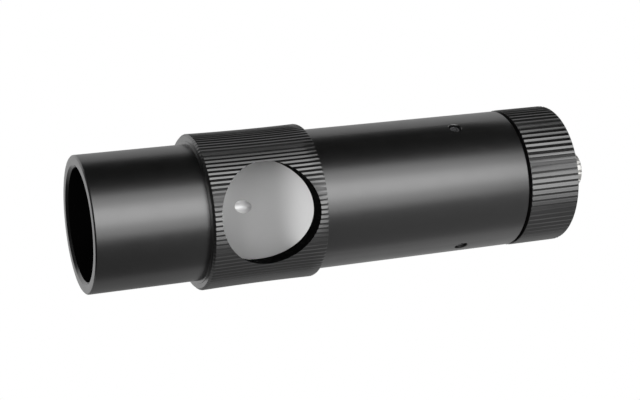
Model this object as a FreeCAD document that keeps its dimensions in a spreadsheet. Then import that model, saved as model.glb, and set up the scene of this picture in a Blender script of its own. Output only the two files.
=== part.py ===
import FreeCAD, Part
import math
import os
import re
import Sketcher

# A laser collimator for telescopes with a 1.25 inch focuser, in millimetres.
# It stands on the open end of its nose: +Z is its axis, the sight window faces -Y,
# and the battery cap with its push button is on top.

# Driving dimensions: alias, size, what it measures
DRIVING = [
    ("nose_diameter", 31.7, "outside of the 1.25 inch nose"),
    ("nose_length", 26.1, "open end to the shoulder of the main tube"),
    ("nose_edge_break", 0.3, "outer bevel on the open end"),
    ("mouth_chamfer", 0.6, "inner bevel on the open end"),
    ("nose_wall", 2.75, "wall of the nose, round the bore of nose and tube"),
    ("tube_diameter", 33.2, "outside of the main tube"),
    ("tube_length", 105.66, "open end to the rear end of the tube"),
    ("tube_edge_break", 0.15, "bevel on the tube's shoulder and rear end"),
    ("rear_wall", 2, "wall of the tube round the thread bore for the cap"),
    ("rear_bore_depth", 11.66, "rear end to the battery holder's seat"),
    ("collar_wall", 1.56, "wall of the window collar, with its ribs"),
    ("collar_setback", 0.1, "tube shoulder to the collar's front face"),
    ("collar_length", 27.3, "length of the window collar"),
    ("collar_front_bevel", 0.5, "bevel at the front of the collar, deeper than its grooves"),
    ("collar_rear_bevel", 0.12, "bevel at the rear of the collar"),
    ("collar_rib_count", 104, "ribs round the window collar"),
    ("collar_groove_depth", 0.15, "depth of the V groove between two collar ribs"),
    ("collar_groove_width", 0.98, "width of that groove at the top of the ribs"),
    ("window_height", 40.0, "open end to the window's centre"),
    ("window_diameter", 23.5, "round sight window"),
    ("target_height", 39.0, "open end to where the target face meets the axis"),
    ("target_tilt", 45, "angle between the target face and the axis"),
    ("target_backing", 4.5, "full plug behind the top of the target face"),
    ("aperture_diameter", 3.1, "hole for the beam in the target"),
    ("relief_diameter", 16, "recess in the back of the target plug"),
    ("relief_depth", 6, "depth of that recess"),
    ("screw_count", 3, "adjusting screws round the tube"),
    ("screw_setback", 14.81, "rear end of the tube to the adjusting screws"),
    ("screw_diameter", 3, "adjusting screw thread"),
    ("screw_length", 6, "adjusting screw"),
    ("screw_tip_gap", 0.2, "screw tip to the laser carrier"),
    ("screw_edge_break", 0.3, "bevel on both ends of a screw"),
    ("socket_across_flats", 1.5, "hexagon socket in the adjusting screw"),
    ("socket_depth", 1.8, "depth of that socket"),
    ("thread_clearance", 0.05, "radial clearance of each threaded pair"),
    ("countersink_depth", 0.45, "90 degree countersink over each adjusting screw"),
    ("carrier_front_gap", 0.7, "target plug to the laser carrier"),
    ("carrier_rear_gap", 0.4, "laser carrier to the battery holder"),
    ("carrier_diameter", 19.6, "outside of the laser carrier"),
    ("carrier_flange_clearance", 0.3, "pivot flange of the carrier to the bore, all round"),
    ("carrier_flange_length", 8, "length of the pivot flange"),
    ("carrier_front_wall", 1.5, "front wall of the carrier"),
    ("carrier_beam_diameter", 5, "beam hole in that wall"),
    ("o_ring_section", 2, "thickness of the pivot ring"),
    ("o_ring_groove_width", 2.4, "width of its groove"),
    ("barrel_diameter", 12, "outside of the laser barrel"),
    ("barrel_length", 21.2, "length of the laser barrel"),
    ("barrel_bore_diameter", 9, "bore of the laser barrel"),
    ("slip_clearance", 0.05, "radial clearance of each slip fit inside"),
    ("lens_cell_length", 4, "lens cell"),
    ("lens_cell_front_gap", 0.3, "front wall of the carrier to the lens cell"),
    ("lens_cell_lip", 1, "lip in front of the lens"),
    ("lens_diameter", 7, "collimating lens"),
    ("lens_edge", 1, "thickness of the lens at its rim"),
    ("lens_crown_radius", 7.5, "radius of the curved face of the lens"),
    ("lens_clear_diameter", 5, "clear opening in front of the lens"),
    ("lens_spring_length", 5.9, "spring between lens cell and diode holder"),
    ("lens_spring_coil", 7.4, "mean coil diameter of that spring"),
    ("lens_spring_wire", 0.5, "its wire"),
    ("lens_spring_pitch", 1.45, "its pitch"),
    ("diode_holder_length", 4, "diode holder"),
    ("diode_flange_diameter", 5.6, "rim of the laser diode"),
    ("diode_flange_thickness", 1.2, "thickness of that rim"),
    ("diode_can_diameter", 4.7, "can of the laser diode"),
    ("diode_can_height", 2.6, "height of the can"),
    ("diode_lead_diameter", 0.45, "each lead of the diode"),
    ("diode_lead_length", 4.5, "length of the leads"),
    ("diode_lead_circle", 2.54, "circle of the leads"),
    ("diode_lead_count", 3, "leads of the diode"),
    ("board_thickness", 1, "driver board"),
    ("chip_size", 2.4, "side of the driver chip"),
    ("chip_height", 0.9, "height of the driver chip"),
    ("contact_coil", 5.2, "mean coil diameter of the contact spring"),
    ("contact_wire", 0.6, "its wire"),
    ("contact_pitch", 2.4, "its pitch"),
    ("contact_gap", 0.1, "each end of a contact spring to what it meets"),
    ("cell_diameter", 20, "coin cell"),
    ("cell_height", 3.2, "height of the coin cell"),
    ("cell_clearance", 0.15, "coin cell to its pocket, all round"),
    ("cell_edge_bevel", 0.8, "bevel round the smaller pole of the coin cell"),
    ("holder_clearance", 0.1, "battery holder to the thread bore"),
    ("holder_floor", 2, "floor of the battery holder"),
    ("holder_height", 5.4, "height of the battery holder"),
    ("holder_hole_diameter", 9, "hole in the floor for the contact spring"),
    ("seal_thickness", 0.88, "seal ring between tube and cap"),
    ("seal_setback", 1.2, "outside of the tube to the outside of the seal ring"),
    ("cap_overhang", 0.2, "outside of the tube to the ribs of the cap"),
    ("cap_length", 12.66, "ribbed length of the cap"),
    ("cap_edge_bevel", 0.15, "bevel round the cap's end face"),
    ("cap_rib_count", 76, "ribs round the cap"),
    ("cap_groove_depth", 0.25, "depth of the V groove between two cap ribs"),
    ("cap_groove_width", 1.25, "width of that groove at the top of the ribs"),
    ("cap_end_wall", 3, "end wall of the cap"),
    ("spigot_wall", 3.05, "wall of the cap's spigot"),
    ("spigot_gap", 0.3, "spigot end to the battery holder"),
    ("bushing_diameter", 7, "threaded neck of the switch"),
    ("bushing_reach", 2.7, "neck above the cap's end face"),
    ("bushing_flange_diameter", 11.2, "flange of the neck inside the cap"),
    ("bushing_flange_thickness", 1.3, "thickness of that flange"),
    ("washer_diameter", 10, "washer under the nut"),
    ("washer_thickness", 0.5, "thickness of the washer"),
    ("nut_across_flats", 9, "nut of the switch"),
    ("nut_height", 2, "height of the nut"),
    ("switch_body_length", 10.4, "switch body inside the cap"),
    ("switch_body_wall", 1.2, "wall of the switch body"),
    ("switch_body_floor", 1.5, "floor of the switch body"),
    ("terminal_diameter", 2.4, "rear terminal of the switch"),
    ("terminal_length", 1.2, "length of that terminal"),
    ("stem_diameter", 4.8, "stem of the push button"),
    ("button_diameter", 8.84, "head of the push button"),
    ("button_height", 4.44, "height of that head"),
    ("button_lift", 1.2, "nut side of the head to the end of the neck"),
    ("button_edge_bevel", 0.4, "bevel round the top of the button"),
    ("button_flute_count", 12, "flutes round the button"),
    ("button_flute_depth", 0.4, "depth of each flute"),
    ("button_flute_width", 0.8, "width of each flute"),
    ("stop_flange_diameter", 6.8, "stop flange on the stem"),
    ("stop_flange_thickness", 1.3, "thickness of that flange"),
    ("stop_gap", 0.1, "stop flange to the neck at rest"),
    ("button_spring_coil", 5.2, "mean coil diameter of the return spring"),
    ("button_spring_wire", 0.5, "its wire"),
    ("button_spring_pitch", 1.5, "its pitch"),
    ("tail_spring_coil", 6, "mean coil diameter of the tail spring"),
    ("tail_spring_wire", 0.6, "its wire"),
    ("tail_spring_pitch", 1.3, "its pitch"),
    ("tail_spring_gap", 0.3, "tail spring to the coin cell"),
]

# Radii and heights that follow from the driving dimensions
NOSE_R = "nose_diameter / 2"
BORE_R = f"({NOSE_R} - nose_wall)"
TUBE_R = "tube_diameter / 2"
REAR_BORE_R = f"({TUBE_R} - rear_wall)"
HOLDER_SEAT = "(tube_length - rear_bore_depth)"
COLLAR_R = f"({TUBE_R} + collar_wall)"
COLLAR_FRONT = "(nose_length + collar_setback)"
COLLAR_REAR = f"({COLLAR_FRONT} + collar_length)"
WINDOW_R = "window_diameter / 2"
TARGET_RISE = f"({BORE_R} / tan(target_tilt * 1 deg))"
TARGET_LOW = f"(target_height - {TARGET_RISE})"
TARGET_HIGH = f"(target_height + {TARGET_RISE})"
TARGET_BACK = f"({TARGET_HIGH} + target_backing)"
CARRIER_R = "carrier_diameter / 2"
CARRIER_FRONT = f"({TARGET_BACK} + carrier_front_gap)"
CARRIER_REAR = f"({HOLDER_SEAT} - carrier_rear_gap)"
FLANGE_REAR = f"({CARRIER_FRONT} + carrier_flange_length)"
RING_HEIGHT = f"({CARRIER_FRONT} + carrier_flange_length / 2)"
SCREW_HEIGHT = "(tube_length - screw_setback)"
SCREW_TIP = f"({CARRIER_R} + screw_tip_gap)"
SCREW_R = "screw_diameter / 2"
BARREL_FRONT = f"({CARRIER_FRONT} + carrier_front_wall)"
BARREL_R = "barrel_diameter / 2"
BARREL_BORE_R = "barrel_bore_diameter / 2"
INSERT_R = f"({BARREL_BORE_R} - slip_clearance)"
LENS_CELL_FRONT = f"({BARREL_FRONT} + lens_cell_front_gap)"
LENS_CELL_REAR = f"({LENS_CELL_FRONT} + lens_cell_length)"
LENS_FRONT = f"({LENS_CELL_FRONT} + lens_cell_lip)"
DIODE_HOLDER_FRONT = f"({LENS_CELL_REAR} + lens_spring_length)"
DIODE_HOLDER_REAR = f"({DIODE_HOLDER_FRONT} + diode_holder_length)"
DIODE_SHOULDER = f"({DIODE_HOLDER_REAR} - diode_flange_thickness)"
BOARD_FRONT = f"({DIODE_HOLDER_REAR} + diode_lead_length)"
BOARD_REAR = f"({BOARD_FRONT} + board_thickness)"
POCKET_FLOOR = f"({HOLDER_SEAT} + holder_floor)"
HOLDER_TOP = f"({HOLDER_SEAT} + holder_height)"
CELL_TOP = f"({POCKET_FLOOR} + cell_height)"
CAP_R = f"({TUBE_R} + cap_overhang)"
CAP_FRONT = "(tube_length + seal_thickness)"
CAP_REAR = f"({CAP_FRONT} + cap_length)"
CAP_WALL = f"({CAP_REAR} - cap_end_wall)"
SPIGOT_R = f"({REAR_BORE_R} - thread_clearance)"
CAP_BORE_R = f"({SPIGOT_R} - spigot_wall)"
SPIGOT_END = f"({HOLDER_TOP} + spigot_gap)"
BUSHING_R = "bushing_diameter / 2"
BUSHING_BOTTOM = f"({CAP_WALL} - bushing_flange_thickness)"
BUSHING_TOP = f"({CAP_REAR} + bushing_reach)"
SWITCH_R = "bushing_flange_diameter / 2"
SWITCH_BOTTOM = f"({BUSHING_BOTTOM} - switch_body_length)"
SWITCH_FLOOR = f"({SWITCH_BOTTOM} + switch_body_floor)"
WASHER_TOP = f"({CAP_REAR} + washer_thickness)"
STEM_R = "stem_diameter / 2"
STOP_TOP = f"({BUSHING_BOTTOM} - stop_gap)"
STOP_BOTTOM = f"({STOP_TOP} - stop_flange_thickness)"
BUTTON_BOTTOM = f"({BUSHING_TOP} + button_lift)"
BUTTON_TOP = f"({BUTTON_BOTTOM} + button_height)"
BUTTON_R = "button_diameter / 2"

# How far a cutting outline reaches past the surface that it cuts
OVERCUT = "2"

# Facets of a spring: sections in each turn, and sides of its round wire
SECTIONS_PER_TURN = 10
WIRE_SIDES = 4

doc = FreeCAD.newDocument("telescope_collimator")
sheet = doc.addObject("Spreadsheet::Sheet", "Sizes")
for row, (alias, size, meaning) in enumerate(DRIVING, start=1):
    sheet.set(f"A{row}", meaning)
    sheet.set(f"B{row}", str(size))
    sheet.setAlias(f"B{row}", alias)
doc.recompute()

# Every finished sub-part, by its node name
NODES = {}


def bound(text):
    """The same expression with each driving dimension read from the sheet."""
    return re.sub(r"\b([a-z]+(?:_[a-z]+)+)\b", r"Sizes.\1", text)


def value(text):
    """What an expression comes to with the sizes as they are."""
    return float(sheet.evalExpression(bound(text)))


def keep(piece, node):
    """Name a finished sub-part after its node."""
    piece.Label = node
    NODES[node] = piece
    return piece


def new_body(node):
    """An empty body for one sub-part."""
    return keep(doc.addObject("PartDesign::Body", "body_" + node), node)


def origin_feature(body, role):
    """One of the body's own origin planes or axes."""
    return next(item for item in body.Origin.OriginFeatures if item.Role == role)


def new_sketch(body, name, role, raised=None):
    """An empty sketch on an origin plane of the body, raised along its normal if asked."""
    sketch = body.newObject("Sketcher::SketchObject", name)
    sketch.AttachmentSupport = [(origin_feature(body, role), "")]
    sketch.MapMode = "FlatFace"
    if raised is not None:
        sketch.setExpression("AttachmentOffset.Base.z", bound(raised))
    return sketch


def hold(sketch, geometry, point, kind, text):
    """Bind one coordinate of a sketch point to its expression."""
    if text == "0":
        axis = -2 if kind == "DistanceX" else -1
        sketch.addConstraint(Sketcher.Constraint("PointOnObject", geometry, point, axis))
        return
    size = value(text)
    if size > 0:
        number = sketch.addConstraint(Sketcher.Constraint(kind, -1, 1, geometry, point, size))
        sketch.setExpression(f"Constraints[{number}]", bound(text))
    else:
        number = sketch.addConstraint(Sketcher.Constraint(kind, geometry, point, -1, 1, -size))
        sketch.setExpression(f"Constraints[{number}]", bound(f"-({text})"))


def outline(body, name, role, corners, raised=None):
    """A closed sketch of straight edges whose corners are bound to expressions."""
    sketch = new_sketch(body, name, role, raised)
    points = [FreeCAD.Vector(value(across), value(along), 0) for across, along in corners]
    count = len(points)
    for index in range(count):
        sketch.addGeometry(Part.LineSegment(points[index], points[(index + 1) % count]), False)
    for index in range(count):
        sketch.addConstraint(Sketcher.Constraint("Coincident", index, 2, (index + 1) % count, 1))
    for index, (across, along) in enumerate(corners):
        hold(sketch, index, 1, "DistanceX", across)
        hold(sketch, index, 1, "DistanceY", along)
    return sketch


def circle(body, name, role, across, along, radius, raised=None):
    """A sketch of one circle, its centre and radius bound to expressions."""
    sketch = new_sketch(body, name, role, raised)
    centre = FreeCAD.Vector(value(across), value(along), 0)
    sketch.addGeometry(Part.Circle(centre, FreeCAD.Vector(0, 0, 1), value(radius)), False)
    hold(sketch, 0, 3, "DistanceX", across)
    hold(sketch, 0, 3, "DistanceY", along)
    number = sketch.addConstraint(Sketcher.Constraint("Radius", 0, value(radius)))
    sketch.setExpression(f"Constraints[{number}]", bound(radius))
    return sketch


def revolve(body, kind, name, sketch, axis="V_Axis"):
    """A full turn of a sketch, added or taken away."""
    feature = body.newObject(kind, name)
    feature.Profile = sketch
    feature.ReferenceAxis = (sketch, [axis])
    feature.Angle = 360
    return feature


def cut(body, name, sketch, length=None, towards_normal=False, both_ways=False):
    """A pocket, through everything on its side of the sketch unless a length is given."""
    feature = body.newObject("PartDesign::Pocket", name)
    feature.Profile = sketch
    if length is None:
        feature.Type = "ThroughAll"
    else:
        feature.Type = "Length"
        feature.setExpression("Length", bound(length))
    feature.Reversed = towards_normal
    feature.Midplane = both_ways
    return feature


def repeat_round(body, name, feature, count):
    """The same feature all round the body's Z axis."""
    pattern = body.newObject("PartDesign::PolarPattern", name)
    pattern.Originals = [feature]
    pattern.Axis = (origin_feature(body, "Z_Axis"), [""])
    pattern.Angle = 360
    pattern.setExpression("Occurrences", bound(count))
    body.Tip = pattern
    return pattern


def turned(node, corners):
    """A turned piece: its half section in the XZ plane, revolved about Z."""
    body = new_body(node)
    sketch = outline(body, "section_" + node, "XZ_Plane", corners)
    revolve(body, "PartDesign::Revolution", "turning_" + node, sketch)
    return body


def sleeve(node, outer, inner, bottom, top):
    """A plain turned ring or tube."""
    return turned(node, [(inner, bottom), (outer, bottom), (outer, top), (inner, top)])


def coil_spring(node, coil_diameter, wire, pitch, bottom, top):
    """A wire spring wound about Z between two heights, lofted through its wire's sections."""
    coil_r = value(coil_diameter) / 2
    wire_r = value(wire) / 2
    start = value(bottom) + wire_r
    rise = value(top) - value(bottom) - 2 * wire_r
    turns = rise / value(pitch)
    steps = math.ceil(turns * SECTIONS_PER_TURN)
    sections = []
    for step in range(steps + 1):
        angle = 2 * math.pi * turns * step / steps
        height = start + rise * step / steps
        corners = []
        for side in range(WIRE_SIDES):
            lean = 2 * math.pi * side / WIRE_SIDES
            reach = coil_r + wire_r * math.cos(lean)
            level = height + wire_r * math.sin(lean)
            corners.append(FreeCAD.Vector(reach * math.cos(angle), reach * math.sin(angle), level))
        sections.append(Part.makePolygon(corners + corners[:1]))
    spring = doc.addObject("Part::Feature", "spring_" + node)
    spring.Shape = Part.makeLoft(sections, True, True)
    return keep(spring, node)


def sight_window(body):
    """The round window, cut from the axis out through the -Y side."""
    round_hole = circle(body, "window_" + body.Label, "XZ_Plane", "0", "window_height", WINDOW_R)
    return cut(body, "sight_hole_" + body.Label, round_hole, towards_normal=True)


def ribs(body, radius, depth, width, count):
    """Straight ribs: one V groove along the whole length, repeated round the axis."""
    # The V reaches its width at the radius, and is cut from twice its depth
    corners = [
        (f"{radius} - {depth}", "0"),
        (f"{radius} + {depth}", f"-{width}"),
        (f"{radius} + {depth}", width),
    ]
    section = outline(body, "groove_section_" + body.Label, "XY_Plane", corners)
    groove = cut(body, "groove_" + body.Label, section, towards_normal=True)
    return repeat_round(body, "ribs_" + body.Label, groove, count)


def make_body_tube():
    """Nose and main tube, turned from one bar, with the window and the screw holes."""
    body = turned("body_tube", [
        (f"{BORE_R} + mouth_chamfer", "0"),
        (f"{NOSE_R} - nose_edge_break", "0"),
        (NOSE_R, "nose_edge_break"),
        (NOSE_R, "nose_length"),
        (f"{TUBE_R} - tube_edge_break", "nose_length"),
        (TUBE_R, "nose_length + tube_edge_break"),
        (TUBE_R, "tube_length - tube_edge_break"),
        (f"{TUBE_R} - tube_edge_break", "tube_length"),
        (REAR_BORE_R, "tube_length"),
        (REAR_BORE_R, HOLDER_SEAT),
        (BORE_R, HOLDER_SEAT),
        (BORE_R, "mouth_chamfer"),
    ])
    sight_window(body)
    # One threaded hole on the +Y side, with its countersink, about a line at screw height
    hole = f"({SCREW_R} + thread_clearance)"
    section = outline(body, "screw_hole_section", "YZ_Plane", [
        (f"{BORE_R} - {OVERCUT}", "0"),
        (f"{TUBE_R} + {OVERCUT}", "0"),
        (f"{TUBE_R} + {OVERCUT}", f"{hole} + countersink_depth + {OVERCUT}"),
        (f"{TUBE_R} - countersink_depth", hole),
        (f"{BORE_R} - {OVERCUT}", hole),
    ])
    section.setExpression("AttachmentOffset.Base.y", bound(SCREW_HEIGHT))
    screw_hole = revolve(body, "PartDesign::Groove", "screw_hole", section, "H_Axis")
    repeat_round(body, "screw_holes", screw_hole, "screw_count")
    return body


def make_window_collar():
    """Ribbed sleeve round the window, with bevelled ends."""
    body = turned("window_collar", [
        (TUBE_R, COLLAR_FRONT),
        (f"{COLLAR_R} - collar_front_bevel", COLLAR_FRONT),
        (COLLAR_R, f"{COLLAR_FRONT} + collar_front_bevel"),
        (COLLAR_R, f"{COLLAR_REAR} - collar_rear_bevel"),
        (f"{COLLAR_R} - collar_rear_bevel", COLLAR_REAR),
        (TUBE_R, COLLAR_REAR),
    ])
    ribs(body, COLLAR_R, "collar_groove_depth", "collar_groove_width", "collar_rib_count")
    window = sight_window(body)
    body.Tip = window
    return body


def make_target_plug():
    """Plug with the slanted target face, the beam hole and a recess behind."""
    beam_r = "aperture_diameter / 2"
    relief_r = "relief_diameter / 2"
    body = turned("target_plug", [
        (beam_r, TARGET_LOW),
        (BORE_R, TARGET_LOW),
        (BORE_R, TARGET_BACK),
        (relief_r, TARGET_BACK),
        (relief_r, f"{TARGET_BACK} - relief_depth"),
        (beam_r, f"{TARGET_BACK} - relief_depth"),
    ])
    wedge = outline(body, "target_slope", "YZ_Plane", [
        (BORE_R, TARGET_LOW),
        (f"-{BORE_R}", TARGET_HIGH),
        (f"-({BORE_R} + {OVERCUT})", TARGET_HIGH),
        (f"-({BORE_R} + {OVERCUT})", f"{TARGET_LOW} - {OVERCUT}"),
        (BORE_R, f"{TARGET_LOW} - {OVERCUT}"),
    ])
    cut(body, "target_face", wedge, length=f"2 * {BORE_R} + 2 * {OVERCUT}", both_ways=True)
    return body


def make_adjusting_screw(number):
    """Set screw with a hexagon socket, made along Z from its tip and then laid radially."""
    node = f"adjusting_screw_{number}"
    body = turned(node, [
        ("0", "0"),
        (f"{SCREW_R} - screw_edge_break", "0"),
        (SCREW_R, "screw_edge_break"),
        (SCREW_R, "screw_length - screw_edge_break"),
        (f"{SCREW_R} - screw_edge_break", "screw_length"),
        ("0", "screw_length"),
    ])
    flat = "socket_across_flats / 2"
    corner = f"({flat} / cos(30 * 1 deg))"
    half = f"({corner} / 2)"
    hexagon = outline(body, "socket_section_" + node, "XY_Plane", [
        (corner, "0"),
        (half, flat),
        (f"-{half}", flat),
        (f"-{corner}", "0"),
        (f"-{half}", f"-({flat})"),
        (half, f"-({flat})"),
    ], raised="screw_length")
    cut(body, "socket_" + node, hexagon, length="socket_depth")
    # The first screw is opposite the window, the others follow at equal angles
    degrees = f"(90 + {number - 1} * 360 / screw_count)"
    turn = f"({degrees} * 1 deg)"
    body.setExpression("Placement.Base.x", bound(f"{SCREW_TIP} * cos({turn})"))
    body.setExpression("Placement.Base.y", bound(f"{SCREW_TIP} * sin({turn})"))
    body.setExpression("Placement.Base.z", bound(SCREW_HEIGHT))
    heading = FreeCAD.Rotation(FreeCAD.Vector(0, 0, 1), value(degrees))
    lay_down = FreeCAD.Rotation(FreeCAD.Vector(0, 1, 0), 90)
    body.Placement.Rotation = heading.multiply(lay_down)
    return body


def make_laser_carrier():
    """Tube that holds the laser barrel and tilts on the ring round its flange."""
    flange_r = f"({BORE_R} - carrier_flange_clearance)"
    groove_r = f"({BORE_R} - o_ring_section)"
    bore = f"({BARREL_R} + slip_clearance)"
    return turned("laser_carrier", [
        ("carrier_beam_diameter / 2", CARRIER_FRONT),
        (flange_r, CARRIER_FRONT),
        (flange_r, f"{RING_HEIGHT} - o_ring_groove_width / 2"),
        (groove_r, f"{RING_HEIGHT} - o_ring_groove_width / 2"),
        (groove_r, f"{RING_HEIGHT} + o_ring_groove_width / 2"),
        (flange_r, f"{RING_HEIGHT} + o_ring_groove_width / 2"),
        (flange_r, FLANGE_REAR),
        (CARRIER_R, FLANGE_REAR),
        (CARRIER_R, CARRIER_REAR),
        (bore, CARRIER_REAR),
        (bore, BARREL_FRONT),
        ("carrier_beam_diameter / 2", BARREL_FRONT),
    ])


def make_pivot_ring():
    """Rubber ring in the carrier's groove, flattened where the bore and the groove squeeze it."""
    middle = f"({BORE_R} - o_ring_section / 2)"
    half = "(o_ring_section / 2)"
    flat = f"({half} * tan(22.5 * 1 deg))"
    return turned("pivot_ring", [
        (f"{middle} + {half}", f"{RING_HEIGHT} - {flat}"),
        (f"{middle} + {half}", f"{RING_HEIGHT} + {flat}"),
        (f"{middle} + {flat}", f"{RING_HEIGHT} + {half}"),
        (f"{middle} - {flat}", f"{RING_HEIGHT} + {half}"),
        (f"{middle} - {half}", f"{RING_HEIGHT} + {flat}"),
        (f"{middle} - {half}", f"{RING_HEIGHT} - {flat}"),
        (f"{middle} - {flat}", f"{RING_HEIGHT} - {half}"),
        (f"{middle} + {flat}", f"{RING_HEIGHT} - {half}"),
    ])


def make_lens():
    """Lens with a flat back and a crown that points at the target."""
    rim = doc.addObject("Part::Cylinder", "lens_rim")
    crown = doc.addObject("Part::Sphere", "lens_crown")
    lens_r = "(lens_diameter / 2 - slip_clearance)"
    sagitta = f"(lens_crown_radius - sqrt(lens_crown_radius ^ 2 - {lens_r} ^ 2))"
    rim.setExpression("Radius", bound(lens_r))
    rim.setExpression("Height", bound(f"lens_edge + {sagitta}"))
    rim.setExpression("Placement.Base.z", bound(LENS_FRONT))
    crown.setExpression("Radius", bound("lens_crown_radius"))
    crown.setExpression("Placement.Base.z", bound(f"{LENS_FRONT} + lens_crown_radius"))
    lens = doc.addObject("Part::Common", "lens")
    lens.Base = rim
    lens.Tool = crown
    return keep(lens, "collimating_lens")


def make_laser_diode():
    """Diode can on its rim, with three leads to the driver board."""
    flange_r = "diode_flange_diameter / 2"
    can_r = "diode_can_diameter / 2"
    body = turned("laser_diode", [
        ("0", f"{DIODE_SHOULDER} - diode_can_height"),
        (can_r, f"{DIODE_SHOULDER} - diode_can_height"),
        (can_r, DIODE_SHOULDER),
        (flange_r, DIODE_SHOULDER),
        (flange_r, DIODE_HOLDER_REAR),
        ("0", DIODE_HOLDER_REAR),
    ])
    lead = circle(body, "lead_section", "XY_Plane", "diode_lead_circle / 2", "0",
                  "diode_lead_diameter / 2", raised=DIODE_HOLDER_REAR)
    pad = body.newObject("PartDesign::Pad", "lead")
    pad.Profile = lead
    pad.setExpression("Length", bound("diode_lead_length"))
    repeat_round(body, "leads", pad, "diode_lead_count")
    return body


def make_driver_board():
    """Round board across the barrel, with the driver chip on its rear."""
    disc = doc.addObject("Part::Cylinder", "board_disc")
    disc.setExpression("Radius", bound(INSERT_R))
    disc.setExpression("Height", bound("board_thickness"))
    disc.setExpression("Placement.Base.z", bound(BOARD_FRONT))
    chip = doc.addObject("Part::Box", "driver_chip")
    chip.setExpression("Length", bound("chip_size"))
    chip.setExpression("Width", bound("chip_size"))
    chip.setExpression("Height", bound("chip_height"))
    chip.setExpression("Placement.Base.x", bound("-chip_size / 2"))
    chip.setExpression("Placement.Base.y", bound("-chip_size / 2"))
    chip.setExpression("Placement.Base.z", bound(BOARD_REAR))
    board = doc.addObject("Part::Fuse", "board")
    board.Base = disc
    board.Tool = chip
    return keep(board, "driver_board")


def make_laser_module():
    """Brass barrel with the lens, the diode and the driver board in it."""
    sleeve("laser_barrel", BARREL_R, BARREL_BORE_R, BARREL_FRONT, f"{BARREL_FRONT} + barrel_length")
    clear_r = "lens_clear_diameter / 2"
    seat_r = "lens_diameter / 2"
    turned("lens_cell", [
        (clear_r, LENS_CELL_FRONT),
        (INSERT_R, LENS_CELL_FRONT),
        (INSERT_R, LENS_CELL_REAR),
        (seat_r, LENS_CELL_REAR),
        (seat_r, LENS_FRONT),
        (clear_r, LENS_FRONT),
    ])
    make_lens()
    coil_spring("lens_spring", "lens_spring_coil", "lens_spring_wire", "lens_spring_pitch",
                LENS_CELL_REAR, DIODE_HOLDER_FRONT)
    can_bore = "(diode_can_diameter / 2 + slip_clearance)"
    rim_bore = "(diode_flange_diameter / 2 + slip_clearance)"
    turned("diode_holder", [
        (can_bore, DIODE_HOLDER_FRONT),
        (INSERT_R, DIODE_HOLDER_FRONT),
        (INSERT_R, DIODE_HOLDER_REAR),
        (rim_bore, DIODE_HOLDER_REAR),
        (rim_bore, DIODE_SHOULDER),
        (can_bore, DIODE_SHOULDER),
    ])
    make_laser_diode()
    make_driver_board()
    coil_spring("contact_spring", "contact_coil", "contact_wire", "contact_pitch",
                f"({BOARD_REAR} + contact_gap)", f"({POCKET_FLOOR} - contact_gap)")


def make_battery():
    """Coin cell in its holder."""
    holder_r = f"({REAR_BORE_R} - holder_clearance)"
    pocket_r = "(cell_diameter / 2 + cell_clearance)"
    hole_r = "holder_hole_diameter / 2"
    turned("battery_holder", [
        (hole_r, HOLDER_SEAT),
        (holder_r, HOLDER_SEAT),
        (holder_r, HOLDER_TOP),
        (pocket_r, HOLDER_TOP),
        (pocket_r, POCKET_FLOOR),
        (hole_r, POCKET_FLOOR),
    ])
    turned("coin_cell", [
        ("0", POCKET_FLOOR),
        ("cell_diameter / 2 - cell_edge_bevel", POCKET_FLOOR),
        ("cell_diameter / 2", f"{POCKET_FLOOR} + cell_edge_bevel"),
        ("cell_diameter / 2", CELL_TOP),
        ("0", CELL_TOP),
    ])


def make_rear_cap():
    """Ribbed cap with the threaded spigot and the hole for the switch."""
    hole_r = f"({BUSHING_R} + thread_clearance)"
    body = turned("rear_cap", [
        (CAP_BORE_R, SPIGOT_END),
        (SPIGOT_R, SPIGOT_END),
        (SPIGOT_R, CAP_FRONT),
        (CAP_R, CAP_FRONT),
        (CAP_R, f"{CAP_REAR} - cap_edge_bevel"),
        (f"{CAP_R} - cap_edge_bevel", CAP_REAR),
        (hole_r, CAP_REAR),
        (hole_r, CAP_WALL),
        (CAP_BORE_R, CAP_WALL),
    ])
    ribs(body, CAP_R, "cap_groove_depth", "cap_groove_width", "cap_rib_count")
    return body


def make_nut():
    """Hexagon nut on the neck of the switch."""
    blank = doc.addObject("Part::Prism", "nut_blank")
    blank.Polygon = 6
    blank.setExpression("Circumradius", bound("nut_across_flats / 2 / cos(30 * 1 deg)"))
    blank.setExpression("Height", bound("nut_height"))
    blank.setExpression("Placement.Base.z", bound(WASHER_TOP))
    bore = doc.addObject("Part::Cylinder", "nut_bore")
    bore.setExpression("Radius", bound(f"{BUSHING_R} + thread_clearance"))
    bore.setExpression("Height", bound("nut_height"))
    bore.setExpression("Placement.Base.z", bound(WASHER_TOP))
    nut = doc.addObject("Part::Cut", "nut")
    nut.Base = blank
    nut.Tool = bore
    return keep(nut, "switch_nut")


def make_push_button():
    """Fluted head, stem and stop flange in one turned piece."""
    body = turned("push_button", [
        ("0", STOP_BOTTOM),
        ("stop_flange_diameter / 2", STOP_BOTTOM),
        ("stop_flange_diameter / 2", STOP_TOP),
        (STEM_R, STOP_TOP),
        (STEM_R, BUTTON_BOTTOM),
        (BUTTON_R, BUTTON_BOTTOM),
        (BUTTON_R, f"{BUTTON_TOP} - button_edge_bevel"),
        (f"{BUTTON_R} - button_edge_bevel", BUTTON_TOP),
        ("0", BUTTON_TOP),
    ])
    ribs(body, BUTTON_R, "button_flute_depth", "button_flute_width", "button_flute_count")
    return body


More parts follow.
